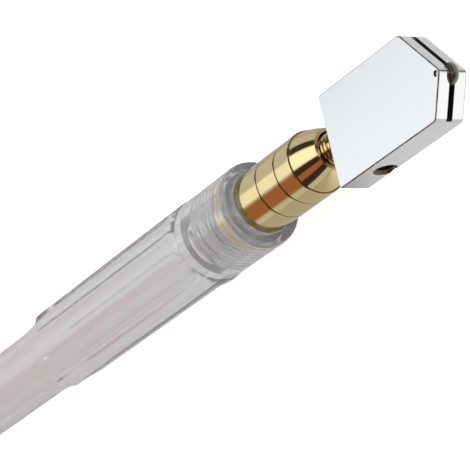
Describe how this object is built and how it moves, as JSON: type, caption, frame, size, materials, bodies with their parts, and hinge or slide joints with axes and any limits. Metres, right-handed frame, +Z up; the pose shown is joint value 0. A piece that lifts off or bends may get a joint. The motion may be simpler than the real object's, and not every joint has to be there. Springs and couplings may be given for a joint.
{
  "type": "glass cutter",
  "caption": "Pencil-style oil-feed glass cutter: flat pointed metal head with a small wheel, brass nose, clear fluted handle holding oil, and a screw filler cap.",
  "frame": {"origin": "centre of the bounding box in plan, on the surface that the tool lies on", "axes": "+X along the tool from the filler cap to the cutting wheel, +Z up out of the head's flat face, +Y to the left when looking along +X"},
  "size_m": [0.175, 0.012, 0.0116],
  "materials": {
    "chrome_plate": "mirror chrome plate, with fine grinding lines on the narrow faces",
    "tungsten_carbide": "ground dark carbide",
    "bright_steel": "bright turned steel",
    "polished_brass": "polished lacquered brass",
    "gold_spring_wire": "drawn brass-coloured spring wire",
    "black_rubber": "moulded nitrile rubber",
    "clear_silicone": "translucent silicone rubber",
    "white_plastic": "turned white plastic",
    "cotton": "twisted cotton yarn",
    "clear_plastic": "clear polished moulded acrylic",
    "red_plastic": "translucent red moulded plastic"
  },
  "bodies": {
    "handle": {"handle": "clear_plastic", "nose_holder": "polished_brass", "nose_gasket": "clear_silicone", "stem_o_ring": "black_rubber", "spring_washer": "bright_steel", "stem_spring": "gold_spring_wire", "valve_seat": "white_plastic", "valve_spring": "bright_steel", "valve_cage": "clear_plastic"},
    "stem": {"stem": "polished_brass", "stem_clip": "bright_steel", "wick": "cotton"},
    "head": {"head_body": "chrome_plate", "wheel_axle": "bright_steel", "head_set_screw": "bright_steel"},
    "wheel": {"cutting_wheel": "tungsten_carbide"},
    "valve_ball": {"valve_ball": "bright_steel"},
    "cap_gasket": {"cap_gasket": "black_rubber"},
    "filler_cap": {"filler_cap": "red_plastic", "vent_valve": "black_rubber"}
  },
  "joints": [
    {"name": "head_press", "type": "slide", "parent": "handle", "child": "stem", "axis": [-1, 0, 0], "range_m": [0, 0.0008], "stiffness_N_per_m": 600, "springref_m": -0.001, "deforming": ["stem_spring"]},
    {"name": "head_swivel", "type": "hinge", "parent": "stem", "child": "head", "pos_m": [0.07025, 0, 0.00582], "axis": [1, 0, 0], "continuous": true},
    {"name": "wheel_spin", "type": "hinge", "parent": "head", "child": "wheel", "pos_m": [0.0861, -0.00106, 0.00582], "axis": [0, 0, 1], "continuous": true},
    {"name": "valve_lift", "type": "slide", "parent": "handle", "child": "valve_ball", "axis": [-1, 0, 0], "range_m": [0, 0.0008], "deforming": ["valve_spring"]},
    {"name": "cap_travel", "type": "slide", "parent": "handle", "child": "cap_gasket", "axis": [-1, 0, 0], "range_m": [0, 0.006]},
    {"name": "cap_turn", "type": "hinge", "parent": "cap_gasket", "child": "filler_cap", "pos_m": [-0.081, 0, 0.00582], "axis": [-1, 0, 0], "range_deg": [0, 2160]}
  ],
  "couplings": [
    {"joint": "valve_lift", "follows": "head_press", "ratio": 1},
    {"joint": "cap_turn", "follows": "cap_travel", "rad_per_m": 6283.2}
  ]
}
